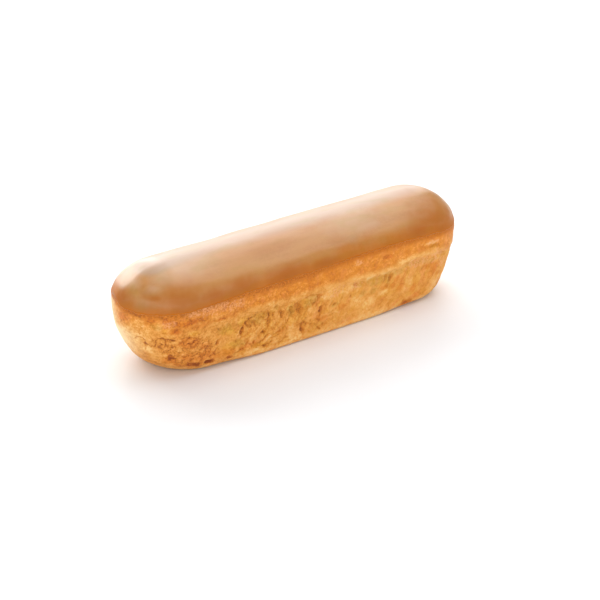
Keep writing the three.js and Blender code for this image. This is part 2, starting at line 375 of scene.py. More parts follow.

# Painted olive shade deep in the torn wall: place, height, half length and half height.
OLIVE_SHADE_PATCHES = (
    (42.5, 14.8, 5, 2.2), (45, 7.6, 4.4, 2.2), (57, 15, 6, 2), (65.3, 17.2, 1.6, 1.2),
    (71.8, 13.6, 1.8, 3), (81.6, 15.5, 4.6, 2.2), (93, 10.8, 2, 1), (15.5, 21.2, 3, 2.2),
    (104.2, 15.6, 2.6, 1.4), (107.5, 11.8, 2, 1.6), (112, 11.6, 2.2, 1.5), (113.5, 14.8, 5.6, 2),
    (118.8, 14.8, 3, 2.6), (124.5, 15.6, 2.6, 1.3), (141, 22.2, 2.8, 1), (141, 16.6, 3.6, 1.3),
    (133, 17.3, 7, 1.1), (226, 15, 9, 2.4), (262, 13, 8, 3),
)

# Yellower patches of the wall: place, height, half length and half height.
YELLOW_PATCHES = (
    (17.6, 19.6, 1.3, 1.7), (28.4, 16.6, 2.4, 1.1), (38, 5.4, 3.4, 1.3), (41.5, 7.4, 4.4, 2),
    (43, 13.4, 3.6, 2.2), (48.8, 15.8, 1.5, 1.5), (54, 4.6, 4, 1.2), (212, 9, 5, 2.4),
    (246, 15, 6, 1.6), (279, 8, 5, 2.2),
)

# Finely crinkled stretches of crust: place, height, half length and half height.
CRINKLED_PATCHES = ((19, 10, 9, 7), (27.5, 11, 8.5, 6), (196, 10, 14, 8), (312, 10, 14, 9))

# Pinker, dustier patches, most of them just below the icing; those below the lip are painted shade:
# place, height, half length and half height.
SMEARS_AND_SHADE = (
    (19.5, 21.6, 2.6, 1.6), (29, 24.4, 4, 1.1), (34.5, 24.2, 7.4, 2.3), (41, 23.8, 6, 2.2),
    (47.5, 23, 4, 2), (94, 15.8, 4, 2), (103.5, 24.6, 2.2, 1.3), (103.5, 15.6, 2.6, 2),
    (134, 17.2, 7, 1.8), (139.5, 23.8, 4.5, 0.9), (143, 18, 4, 2.5), (147.6, 14.2, 3, 2),
    (289, 24, 6, 1.4),
)

# Milkier patches on the icing: place, height, half length and half height.
HAZES = ((9.5, 28.6, 7, 1.6), (11.2, 32.6, 3.6, 0.9), (103.3, 32.4, 3, 1.3), (216, 31, 8, 1.8))

# Darker patches on the icing: place, height, half length and half height.
STAINS = (
    (0.5, 29.3, 4.2, 2.9), (14.2, 31, 4.6, 1.3), (25, 30.2, 11, 4.6), (38, 28.8, 8, 2.4),
    (50, 29.2, 9, 3), (71, 28.6, 9, 2.8), (88, 28.4, 6, 1.6), (133, 29.4, 7, 3), (143, 32, 12, 5.4),
    (196, 29.4, 6, 1.6), (240, 30, 8, 2.6), (282, 29, 8, 1.4),
)

# Slightly darker patches on the icing: place, height, half length and half height.
FAINT_STAINS = (
    (156, 35, 12, 4), (68, 36.8, 20, 2), (96, 33.6, 5, 2), (141, 36, 9, 3), (265, 35, 14, 2.4),
)

# Painted sheen: the palest patches on the icing, where it would catch the light from behind: place,
# height, half length and half height.
PALEST_SHEEN_PATCHES = (
    (-8, 37.2, 11, 3.6), (3, 34.4, 4, 1.8), (16, 36.8, 7, 2.2), (13.5, 33.8, 3.5, 1.2),
    (32, 37.6, 13, 2.4), (108, 37.2, 15, 2.8), (112, 35.2, 7, 1.2), (210, 36.8, 14, 2.6),
)

# Where a painted highlight runs along the icing's rim at the left tip.
RIM_GLINTS = (((-8, 28.3), (-5.4, 28.1), (-3.2, 27.6), (-1.4, 26.9)),)

# Painted shadow in thin dark dashes on the crust just below the icing's edge.
RIM_SHADOWS = (
    ((4.8, 25.5), (6.8, 25), (9.4, 24.7)), ((16.4, 25), (17.2, 24.5)), ((24, 25.5), (25, 24.9)),
    ((196, 25.4), (199.5, 25.1), (201, 25.3)), ((248, 25.2), (251, 25.5)),
)


def lip_height(distance):
    return smooth_through(distance, LIP_LINE)


def rim_height(distance):
    spine_x, _, _ = outline_at(distance)
    return RIM_HEIGHT + RIM_RISE_ALONG_X * spine_x + smooth_through(distance, RIM_LINE)


def lip_strength(distance):
    return np.clip(smooth_through(distance, LIP_STRENGTH), 0, 1)


def tear_strength(distance):
    """How torn the wall under the lip is: most along the sides, least at the tips."""
    spine_x, normal_x, _ = outline_at(distance)
    left = smoothstep(spine_x, -48, -32)
    tips = 1 - 0.45 * smoothstep(np.abs(normal_x), 0.3, 0.9)
    return (0.16 + 0.84 * left) * tips


def tip_inset(spine_x, height):
    """How far a level's spine is shortened at the tip that each place belongs to."""
    below = np.maximum(0, 1 - height / WIDEST_HEIGHT)
    left = FOOT_TIP_INSET[-1] * below ** FOOT_TIP_POWER[-1]
    right = FOOT_TIP_INSET[1] * below ** FOOT_TIP_POWER[1]
    return np.where(spine_x < 0, left, right)


def rounding_inset(height, radius):
    """How far the base's rounded edge lies inside the upright wall."""
    below = np.clip(radius - height, 0, radius)
    return radius - np.sqrt(radius**2 - below**2)


def foot_radius(spine_x):
    near_tip = smoothstep(np.abs(spine_x) / HALF_SPINE, 0.5, 1)
    at_tip = np.where(spine_x < 0, FOOT_RADIUS_AT_TIP[-1], FOOT_RADIUS_AT_TIP[1])
    return FOOT_RADIUS + (at_tip - FOOT_RADIUS) * near_tip


def dome_radius(height):
    """The icing's half width at a height above the widest level."""
    share = np.clip((height - WIDEST_HEIGHT) / DOME_HEIGHT, 0, 1)
    return HALF_WIDTH * (1 - share**DOME_POWER) ** (1 / DOME_POWER)


def cover_at(share):
    """How thick the icing is, from its rim (share 0) to the spine (share 1)."""
    return COVER_AT_RIM + (COVER_ON_TOP - COVER_AT_RIM) * smoothstep(share, 0, 0.8)


def wall_points(distance, height, radius):
    """Points of the drawn-out section in space, from radii at places and heights."""
    spine_x, normal_x, normal_y = outline_at(distance)
    core = spine_x / HALF_SPINE * (HALF_SPINE - tip_inset(spine_x, height))
    x, y = core + radius * normal_x, radius * normal_y
    return np.stack(np.broadcast_arrays(x, y, height), axis=-1)


def under_icing(distance, start, share, depth):
    """Points at a depth inside the icing's surface, from the height start up to the spine."""
    angle = share * math.pi / 2
    height = start + (HEIGHT - start) * np.sin(angle)
    radius = np.where(share < 1, dome_radius(height) - depth * np.cos(angle), 0)
    return wall_points(distance, height - depth * np.sin(angle), radius)


def mesh_object(name, points, attributes):
    """A smooth-shaded mesh from a grid of points in millimetres, welded where points meet.

    Each row of the grid goes once round the eclair.
    """
    rows, columns = points.shape[:2]
    row, column = np.meshgrid(np.arange(rows - 1), np.arange(columns), indexing="ij")
    after = (column + 1) % columns
    low, high = row * columns, (row + 1) * columns
    corners = np.stack([low + column, low + after, high + after, high + column], axis=-1)

    flat = np.round(points.reshape(-1, 3), 4)
    unique, first, index = np.unique(flat, axis=0, return_index=True, return_inverse=True)
    rings = []
    for welded in index.reshape(-1)[corners.reshape(-1, 4)]:
        ring = list(dict.fromkeys(welded.tolist()))
        if len(ring) > 2:
            rings.append(ring)
    mesh = bpy.data.meshes.new(name)
    mesh.from_pydata((unique * MM).tolist(), [], rings)
    for key, values in attributes.items():
        layer = mesh.attributes.new(key, "FLOAT", "POINT")
        layer.data.foreach_set("value", values.reshape(-1)[first].astype(np.float32))
    mesh.shade_smooth()
    mesh.validate()
    piece = bpy.data.objects.new(name, mesh)
    bpy.context.collection.objects.link(piece)
    return piece


def crust_levels(step):
    """The heights of the crust's rows of points on the wall, before they follow the lip."""
    foot = FOOT_RADIUS * (1 - np.cos(np.linspace(0, math.pi / 2, 7)[:-1]))
    wall = np.arange(FOOT_RADIUS, LIP_HEIGHT - 4, step)
    lip = np.arange(LIP_HEIGHT - 4, LIP_HEIGHT + 2, step * 0.7)
    band = np.arange(LIP_HEIGHT + 2, RIM_HEIGHT + 0.8, step)
    return np.concatenate([foot, wall, lip, band])


def follow_lines(distance, level):
    """Moves levels up or down, so that rows of points follow the lip and the icing's rim."""
    lip = lip_height(distance) - LIP_HEIGHT
    rim = rim_height(distance) - RIM_HEIGHT
    below = np.clip((level - FOOT_RADIUS) / (LIP_HEIGHT - FOOT_RADIUS), 0, 1)
    above = np.clip((level - LIP_HEIGHT) / (RIM_HEIGHT - LIP_HEIGHT), 0, 1)
    return level + np.where(level < LIP_HEIGHT, lip * below, lip + (rim - lip) * above)


def leaning(points, lean, climb=0):
    """Points pushed aside as they rise, and down along X, so that a stretched pattern leans."""
    moved = points.copy()
    moved[..., 0] -= lean * points[..., 2]
    moved[..., 2] -= climb * points[..., 0]
    return moved


def terraces(values, rise):
    """Turns smooth values into flat steps with steep edges, like torn layers of crust."""
    steps = np.floor(values)
    return steps + smoothstep(values - steps, 0, rise)


def listed_pits(distance, height, unevenness_d, unevenness_z):
    """How deep the listed pits are at each place, which is 1 for the deepest."""
    depth = np.zeros_like(height)
    for place, z, half_length, half_height, turn, deepest in PITS:
        across = along(distance, place) + unevenness_d
        up = height - z + unevenness_z
        c, s = math.cos(math.radians(turn)), math.sin(math.radians(turn))
        reach = np.hypot((across * c + up * s) / half_length, (up * c - across * s) / half_height)
        depth = np.maximum(depth, deepest * (1 - smoothstep(reach, 0.6, 1.15)))
    return depth


def marks_on_crust(distance, height, slow, crumbs):
    """How strongly each kind of mark in the lists shows at each place, and how deep pits are."""
    uneven_d, uneven_z = distance + 0.4 * slow + 0.35 * crumbs, height + 0.5 * crumbs
    blotch = 0.5 * slow + 0.4 * crumbs

    def lines(listed, half_width):
        return line_field(uneven_d, uneven_z, listed, half_width)

    def patches(listed, unevenness, edge=CRISP_EDGE):
        return patch_field(distance, height, listed, unevenness, edge)

    return {
        "pits": listed_pits(distance, height, 0.25 * crumbs + 0.15 * slow, 0.25 * crumbs),
        "strands": lines(STRANDS, 0.42),
        "creases": lines(CREASES, 0.3),
        "rim_shadows": lines(RIM_SHADOWS, 0.36),
        "cracks": line_field(distance + 0.25 * crumbs, height + 0.25 * crumbs, CRACKS, 0.24),
        "scorches": patches(SCORCHES, 0.6 * blotch),
        "baked": patches(BAKED_PATCHES, blotch),
        "toasted": patches(TOASTED_PATCHES, 0.4 * blotch, SOFT_EDGE),
        "pale": patches(PALE_AND_LIT_PATCHES, blotch),
        "yellow": patches(YELLOW_PATCHES, blotch, SOFT_EDGE),
        "olive": patches(OLIVE_SHADE_PATCHES, blotch),
        "crinkled": patches(CRINKLED_PATCHES, 0.4 * slow),
        "smears_and_shade": patches(SMEARS_AND_SHADE, 0.9 * crumbs),
    }


def torn_relief(height, points, sizes):
    """The torn wall's lumps, layers, strokes, creases and small pits, in relief and in tone."""
    wander = [noise_field(points, 3.2, 2, offset) for offset in (101, 131, 161)]
    warped = points + 1.3 * np.stack(wander, axis=-1)
    upright = leaning(warped, STROKE_LEAN)
    flat = leaning(warped, 0, LAYER_CLIMB)
    lower = 1 - smoothstep(height + 1.2 * wander[0], *FLAT_BELOW)

    def stroked(across, along_stroke, offset):
        tall = noise_field(upright, (across, across, along_stroke), 2, offset)
        wide = noise_field(flat, (along_stroke, along_stroke, across), 2, offset + 3)
        return tall + (wide - tall) * lower

    lumps = noise_field(warped, (4.5, 4.5, 3.6), 3, 31)
    strokes = stroked(1.5, 4.4, 201)
    fine_strokes = stroked(0.75, 2.2, 231)
    layers = terraces(1.9 * stroked(3, 5, 21), 0.16)
    layer_tone = np.sin(2.4 * np.floor(layers))
    crease = smoothstep(noise_field(points, 5, 2, 71), -0.2, 0.25)
    crease = crease * bell(stroked(2.4, 4, 91) / 0.06)
    fine_crease = bell(stroked(1.4, 2.6, 95) / 0.07)
    fine_crease *= smoothstep(noise_field(points, 3.6, 2, 75), -0.05, 0.35)
    pits = cell_pits(upright, (3, 3, 3.4), 0.2, 0.3, 5) * smoothstep(points[..., 1], 0, 8)
    crumbs = noise_field(points, 0.9, 2, 41)

    relief = sizes.lump_depth / MM * lumps + sizes.layer_depth / MM * layers
    relief += 0.18 * strokes + 0.08 * fine_strokes + 0.05 * crumbs
    relief -= 0.34 * crease + 0.18 * fine_crease + 0.6 * pits
    tone = 0.09 * lumps + 0.05 * layer_tone + 0.1 * strokes + 0.07 * fine_strokes
    # Painted shade: the creases and small pits are darker, as shade in them.
    tone -= 0.18 * crease + 0.1 * fine_crease + 0.45 * pits
    calm = 0.5 * smoothstep(points[..., 0], 0, 20) * (1 - smoothstep(points[..., 1], -5, 5))
    calm = np.maximum(calm, 0.6 * (1 - smoothstep(height, 1.5, 4.5)))
    return relief * (1 - calm), tone * (1 - calm)


def crust_fields(distance, height, points, sizes):
    """The crust's relief in millimetres, and the amounts that its material reads."""
    wavering = 0.4 * noise_field(points, 3, 3, 4)
    crumbs = noise_field(points, 1, 3, 41)
    slow = noise_field(points, 4, 3, 31)
    marks = marks_on_crust(distance, height, slow, crumbs)
    baked, pale, olive = marks["baked"], marks["pale"], marks["olive"]
    crinkled, scorches = marks["crinkled"], marks["scorches"]
    crinkles = 0.5 - np.abs(noise_field(points, (1.2, 1.2, 0.9), 2, 301))
    # The left tip's pale dough, partly painted light from behind, fading out towards the foot.
    doughy_and_lit = near(distance, *DOUGHY_AND_LIT_LOW) * (1 - smoothstep(height, 15.5, 20.5))
    doughy_and_lit = np.maximum(doughy_and_lit, near(distance, *DOUGHY_AND_LIT_HIGH)) * smoothstep(height, 4, 13)

    # Where the lip, the tear below it, the icing's rim and the foot are.
    from_lip = height - lip_height(distance) - wavering
    from_rim = height - rim_height(distance)
    lip_on = lip_strength(distance)
    lip_there = smoothstep(lip_on, 0, 0.3)
    tear_top = np.where(lip_on > 0.1, from_lip + 1.5, height - 18 - wavering)
    in_tear = (1 - smoothstep(tear_top, -0.8, 0.8)) * smoothstep(height, 0.6, 3)
    in_tear = in_tear * tear_strength(distance) * (1 - 0.6 * pale)
    crest = smoothstep(from_lip, -1, 0.2) * (1 - smoothstep(from_lip, 0.4, 5))
    crest = bell(from_lip / 1.2) + 0.4 * crest
    groove = bell((from_lip + 1.5) / 0.95) * smoothstep(slow, -0.55, 0.1)
    clear_of_rim = 1 - smoothstep(from_rim, -1.2, -0.2)

    tear, tear_tone = torn_relief(height, points, sizes)
    skin = 0.12 * noise_field(points, 3, 2, 61) + 0.07 * crumbs
    skin += sizes.crinkle_depth / MM * crinkled * crinkles
    relief = in_tear * tear + (1 - 0.7 * in_tear) * skin
    relief += lip_on * (sizes.lip_crest / MM * crest - sizes.groove_depth / MM * groove)
    relief += sum(depth * marks[kind] for kind, depth in MARK_RELIEF.items())
    relief *= clear_of_rim * smoothstep(height, 0.1, 2.2)
    sag = 0.3 * noise_field(points, 24, 2, 1)
    relief += sag * clear_of_rim * smoothstep(height, 0, 3)

    band = smoothstep(from_lip, 0.5, 2.6) * lip_there
    band += (1 - lip_there) * smoothstep(height + 2 * wavering, 18, 22.5)
    band *= 1 - 0.3 * (1 - smoothstep(points[..., 0], -60, -45))
    band *= (1 - doughy_and_lit) * (1 - 0.6 * pale)
    band = np.maximum(band, 0.8 * marks["toasted"])
    lip_width = 1.1 + 0.5 * smoothstep(distance, 105, 135)
    tone = 0.7 + in_tear * tear_tone + 0.12 * slow * (1 - in_tear)
    tone += 0.11 * lip_on * bell(from_lip / lip_width) + 0.26 * doughy_and_lit
    tone += sum(paler * marks[kind] for kind, paler in MARK_TONE.items())
    # The listed pits are darker, partly as browner crust and partly as painted shade in them.
    tone -= (0.13 + 0.16 * band) * baked + 0.5 * np.minimum(marks["pits"], 0.9)
    tone += crinkled * (0.22 * crinkles - 0.12) + 0.16 * (1 - smoothstep(height, 1.5, 4))
    # The crust is a little paler towards +X, and darker towards the icing's rim, as painted shade
    # under its edge.
    tone += 0.04 * smoothstep(points[..., 0], 0, 20) - 0.14 * smoothstep(from_rim, -3.2, -0.6)

    drier = 1 - smoothstep(points[..., 0], -30, 15)
    shadowed = 1 - near(distance, *UNSHADED_LIP)
    sunk = sum(depth * near(distance, place, reach) for place, reach, depth in SUNK_GLAZE)
    return relief, {
        "tone": tone,
        "band": np.clip(band, 0, 1),
        # Painted shade of an olive hue: in the hollow below the lip, where the crust is also less
        # baked, and in the listed patches.
        "olive": np.clip(0.8 * lip_on * groove * shadowed + olive, 0, 1),
        "red": np.clip(scorches + 0.8 * baked + 0.3 * crinkled, 0, 1),
        "yellow": marks["yellow"],
        # The left tip's paleness, partly painted light from behind.
        "dough": doughy_and_lit,
        "grainy": np.clip(0.2 + 0.55 * crinkled + 0.25 * band + 0.3 * drier, 0, 1),
        "torn": in_tear,
        "low": 1 - smoothstep(height + wavering * 4, *FLAT_BELOW),
        "smear": marks["smears_and_shade"],
        "creased": marks["rim_shadows"],
        "near_rim": smoothstep(from_rim + sunk, -3, 0.6),
    }


def make_crust(sizes):
    """The bun's whole surface, from the middle of its base up to the top under the icing."""
    step = CRUST_STEP
    columns = int(round(PERIMETER / step / 6)) * 6
    distance = (np.arange(columns) * PERIMETER / columns)[None, :]
    height = follow_lines(distance, crust_levels(step)[:, None])
    spine_x, _, _ = outline_at(distance)

    outer = HALF_WIDTH - COVER_AT_RIM
    side = outer - FOOT_SIDE_INSET * (1 - np.minimum(1, height / WIDEST_HEIGHT))
    radius = np.where(height > WIDEST_HEIGHT, dome_radius(height) - COVER_AT_RIM, side)
    radius = radius - rounding_inset(height, foot_radius(spine_x))
    points = wall_points(distance, height, radius)
    relief, amounts = crust_fields(np.broadcast_to(distance, height.shape), height, points, sizes)
    radius = radius + relief
    wall = wall_points(distance, height, radius)

    base_shares = np.array([0, 0.35, 0.65, 0.85, 0.96])[:, None]
    base = wall_points(distance, np.zeros((len(base_shares), columns)), base_shares * radius[0])
    share = np.linspace(0, 1, 12)[1:, None]
    top = under_icing(distance, height[-1], share, cover_at(share))

    padding = ((len(base), len(top)), (0, 0))
    padded = {key: np.pad(values, padding, "edge") for key, values in amounts.items()}
    return mesh_object("choux_crust", np.concatenate([base, wall, top]), padded)


def icing_amounts(distance, height, above_rim, points):
    """The amounts that the icing's material reads."""
    uneven = 0.25 * noise_field(points, 4, 2, 87)
    ragged = 1.2 * noise_field(points, (9, 5, 3), 2, 89)
    # Painted sheen: the icing's top is paler, as where it would catch the light from behind.
    crown = smoothstep(height + 2.2 * near(distance, *LOW_CROWN_SHEEN), 38, 39.4)
    # Painted highlight along the rim at the left tip.
    rim_glint = line_field(distance, height, RIM_GLINTS, 0.6)
    stains = patch_field(distance, height, STAINS, uneven, STAIN_EDGE)
    faint = 0.35 * patch_field(distance, height, FAINT_STAINS, 0.4 * uneven, STAIN_EDGE)
    return {
        "thin": 1 - smoothstep(above_rim + ragged, 0.2, 7.2),
        "edge": 1 - smoothstep(above_rim, 0, 1.3),
        "crown": np.maximum(crown, rim_glint),
        "stain": np.maximum(stains, faint),
        # Painted sheen in the palest patches.
        "pale": patch_field(distance, height, PALEST_SHEEN_PATCHES, uneven, CLOUDY_EDGE),
        "haze": patch_field(distance, height, HAZES, uneven, HAZY_EDGE),
    }


def make_icing(sizes):
    """The icing: a thin domed cap whose rounded rim lies on the crust."""
    columns = ICING_COLUMNS
    distance = (np.arange(columns) * PERIMETER / columns)[None, :]
    on_crust = wall_points(distance, np.full((1, columns), RIM_HEIGHT), HALF_WIDTH)
    wobble = 0.18 * noise_field(on_crust, 5, 2, 71) + 0.28 * noise_field(on_crust, 1.2, 3, 75)
    rim = rim_height(distance) + wobble

    bead = sizes.rim_bead / MM
    edge_rows = np.array([0, 0.03, 0.1, 0.22, 0.38, 0.55, 0.75, 1, 1.3])[:, None]
    share = np.linspace(0, 1, 34)[1:, None]
    start = rim + edge_rows[-1]
    dome_rows = start + (HEIGHT - start) * np.sin(share * math.pi / 2)
    height = np.concatenate([rim + edge_rows, dome_rows])
    above_rim = height - rim
    rounded = np.sin(np.minimum(above_rim / bead, 1) * math.pi / 2)
    radius = dome_radius(height) - (COVER_AT_RIM + 0.1) * (1 - rounded)
    radius[-1] = 0
    swell = sizes.bead_swell / MM * bell((above_rim - bead) / (1.6 * bead))
    points = wall_points(distance, height, radius)
    waves = sizes.icing_waves / MM * noise_field(points, (22, 11, 9), 2, 81)
    ripples = 0.07 * noise_field(points, (14, 6, 5), 2, 85)
    fading = smoothstep(above_rim, 0.5, 5) * smoothstep(radius, 0, 6)
    scale = 1 + ((waves + ripples) * fading + swell) / HALF_WIDTH
    raised = WIDEST_HEIGHT + (height - WIDEST_HEIGHT) * scale
    outer = wall_points(distance, raised, radius * scale)

    inner_share = np.linspace(0, 1, 14)[:, None]
    inner = under_icing(distance, rim + 0.1, inner_share, cover_at(inner_share) - 0.08)[::-1]
    amounts = icing_amounts(distance, height, above_rim, points)
    padding = ((len(inner), 0), (0, 0))
    padded = {key: np.pad(values, padding) for key, values in amounts.items()}
    return mesh_object("coffee_icing_cap", np.concatenate([inner, outer]), padded)


# Materials


def display(*steps):
    """A linear colour from one given in display steps of 0 to 255."""
    values = [step / 255 for step in steps]
    return tuple(v / 12.92 if v <= 0.04045 else ((v + 0.055) / 1.055) ** 2.4 for v in values)


class Shader:
    """A material's node tree, with short calls for the nodes that this eclair needs.

    Sizes, reaches and depths are in millimetres. A colour is one of the scene's eclair colours,
    given by its name, or a tuple.
    """

    def __init__(self, name, colours=None):
        self.material = bpy.data.materials.new(name)
        self.material.use_nodes = True
        self.tree = self.material.node_tree
        self.surface = self.tree.nodes["Principled BSDF"]
        self.place = self.tree.nodes.new("ShaderNodeTexCoord").outputs["Object"]
        self.colours = colours

    def node(self, kind, inputs, **settings):
        made = self.tree.nodes.new(kind)
        for key, value in settings.items():
            setattr(made, key, value)
        self.feed(made, inputs)
        return made

    def feed(self, made, inputs):
        """Links sockets to a node's inputs, and sets the inputs that get plain values."""
        for key, value in inputs.items():
            if isinstance(value, bpy.types.NodeSocket):
                self.tree.links.new(value, made.inputs[key])
            else:
                made.inputs[key].default_value = value

    def set_surface(self, inputs):
        """Feeds the inputs of the surface's shader, and gives back the material."""
        self.feed(self.surface, inputs)
        return self.material

    def tint(self, colour):
        """A colour with its alpha, from a name or a tuple. A socket stays as it is."""
        if isinstance(colour, str):
            colour = tuple(getattr(self.colours, colour))
        return (*colour, 1) if isinstance(colour, tuple) else colour

    def amount(self, name):
        """One of the amounts that are stored at the mesh's points."""
        return self.node("ShaderNodeAttribute", {}, attribute_name=name).outputs["Fac"]

    def math(self, operation, *values):
        return self.node("ShaderNodeMath", dict(enumerate(values)), operation=operation).outputs[0]

    def times(self, first, second):
        return self.math("MULTIPLY", first, second)

    def plus(self, first, second):
        return self.math("ADD", first, second)

    def scaled(self, value, factor, added):
        """The value times the factor, plus what is added."""
        return self.math("MULTIPLY_ADD", value, factor, added)

    def share(self, name, most):
        return self.times(self.amount(name), most)

    def leaning_place(self, lean, climb):
        """The place, pushed aside as it rises and down along X, so that a pattern leans."""
        x, y, z = self.node("ShaderNodeSeparateXYZ", {0: self.place}).outputs
        moved = {0: self.scaled(z, -lean, x), 1: y, 2: self.scaled(x, -climb, z)}
        return self.node("ShaderNodeCombineXYZ", moved).outputs[0]

    def warped(self, place, size, reach):
        """The place, moved about by a slow noise, which makes straight patterns wander."""
        inputs = {"Vector": place, "Scale": 1 / (size * MM), "Detail": 2}
        wander = self.node("ShaderNodeTexNoise", inputs).outputs["Color"]
        moved = {0: wander, 1: (2 * reach * MM,) * 3, 2: place}
        return self.node("ShaderNodeVectorMath", moved, operation="MULTIPLY_ADD").outputs[0]

    def stretched(self, place, stretch):
        inputs = {"Vector": place, "Scale": [1 / s for s in stretch]}
        return self.node("ShaderNodeMapping", inputs).outputs["Vector"]

    def noise(self, size, detail=2, roughness=0.5, stretch=(1, 1, 1)):
        """Soft noise from 0 to 1. Its lumps have the given size, stretched along X, Y and Z."""
        inputs = {
            "Vector": self.stretched(self.place, stretch),
            "Scale": 1 / (size * MM),
            "Detail": detail,
            "Roughness": roughness,
        }
        return self.node("ShaderNodeTexNoise", inputs).outputs["Fac"]

    def cells(self, place, size, stretch, feature="F1"):
        """A cell pattern's outputs. Its distances are in cell sizes."""
        inputs = {"Vector": self.stretched(place, stretch), "Scale": 1 / (size * MM)}
        return self.node("ShaderNodeTexVoronoi", inputs, feature=feature).outputs

    def channels(self, colour):
        return self.node("ShaderNodeSeparateColor", {0: colour}).outputs

    def spread(self, value, low, high, to_low=0, to_high=1):
        """A smooth run from one number, where the value is low, to another, where it is high."""
        inputs = {
            "Value": value,
            "From Min": low,
            "From Max": high,
            "To Min": to_low,
            "To Max": to_high,
        }
        made = self.node("ShaderNodeMapRange", inputs, interpolation_type="SMOOTHSTEP")
        return made.outputs["Result"]

    def mix(self, factor, below, above, blend="MIX"):
        inputs = {"Factor": factor, "A": self.tint(below), "B": self.tint(above)}
        made = self.node("ShaderNodeMix", inputs, data_type="RGBA", blend_type=blend)
        return made.outputs["Result"]

    def ramp(self, value, stops):
        """A colour that runs through the given positions and colours."""
        made = self.node("ShaderNodeValToRGB", {"Fac": value})
        elements = made.color_ramp.elements
        elements[0].position, elements[1].position = stops[0][0], stops[-1][0]
        elements[0].color, elements[1].color = self.tint(stops[0][1]), self.tint(stops[-1][1])
        for position, colour in stops[1:-1]:
            elements.new(position).color = self.tint(colour)
        return made.outputs["Color"]

    def bump(self, height, depth, strength, under=None):
        """A surface normal that follows a pattern, laid over another bump if one is given."""
        inputs = {"Height": height, "Distance": depth * MM, "Strength": strength}
        if under is not None:
            inputs["Normal"] = under
        return self.node("ShaderNodeBump", inputs).outputs["Normal"]


def crumbs_on(shader, place):
    """Small crumbs of crust: bright in their middles and dark between them, about 0 on average."""
    crumbs = shader.cells(shader.warped(place, 1.1, 0.9), 1.15, (1.5, 1.5, 1))
    tints = shader.channels(crumbs["Color"])
    middle = shader.scaled(crumbs["Distance"], -0.5, 0.2)
    return shader.scaled(tints[0], 0.26, shader.plus(middle, -0.13))


def flakes_on(shader, place, size, stretch):
    """Torn flakes: each flake's own tone, from 0 to 1, its hue, and 1 along the flakes' edges."""
    moved = shader.warped(place, 2.4, 1.1)
    tints = shader.channels(shader.cells(moved, size, stretch)["Color"])
    edges = shader.cells(moved, size, stretch, "DISTANCE_TO_EDGE")["Distance"]
    return tints[0], tints[1], shader.spread(edges, 0, 0.1, 1, 0)


def crust_tones(shader, grainy, torn, mottle, specks):
    """How much grain and flakes lighten it, the grain alone, and the flakes' tone and hue."""
    patches = shader.noise(4.5, 3, 0.6)
    upright = flakes_on(shader, shader.leaning_place(STROKE_LEAN, 0), 2.2, (1, 1, 2.1))
    lying = flakes_on(shader, shader.leaning_place(0, FLAKE_CLIMB), 1.7, (3, 3, 1))
    low = shader.amount("low")
    flake_tone, flake_hue, flake_edge = (
        shader.scaled(shader.math("SUBTRACT", b, a), low, a) for a, b in zip(upright, lying)
    )
    # Painted shade: in some patches the flakes' edges are darker, as in the folds between them, and
    # in others a little paler.
    fold_shade = shader.spread(shader.spread(patches, 0.4, 0.6), 0, 1, 0.06, -0.22)
    flaky = shader.plus(shader.scaled(flake_tone, 0.22, -0.11), shader.times(flake_edge, fold_shade))
    crisp = shader.times(torn, shader.spread(grainy, 0.2, 0.6, 0.4, 0.8))

    speckled = shader.plus(shader.scaled(mottle, 0.6, shader.times(specks, 0.9)), -0.75)
    grain = shader.plus(speckled, crumbs_on(shader, shader.place))
    grain = shader.times(grain, shader.scaled(grainy, 0.85, 0.1))
    slow = shader.scaled(patches, 0.5, -0.25)
    varied = shader.plus(shader.plus(grain, slow), shader.times(flaky, crisp))
    return varied, grain, flake_tone, flake_hue


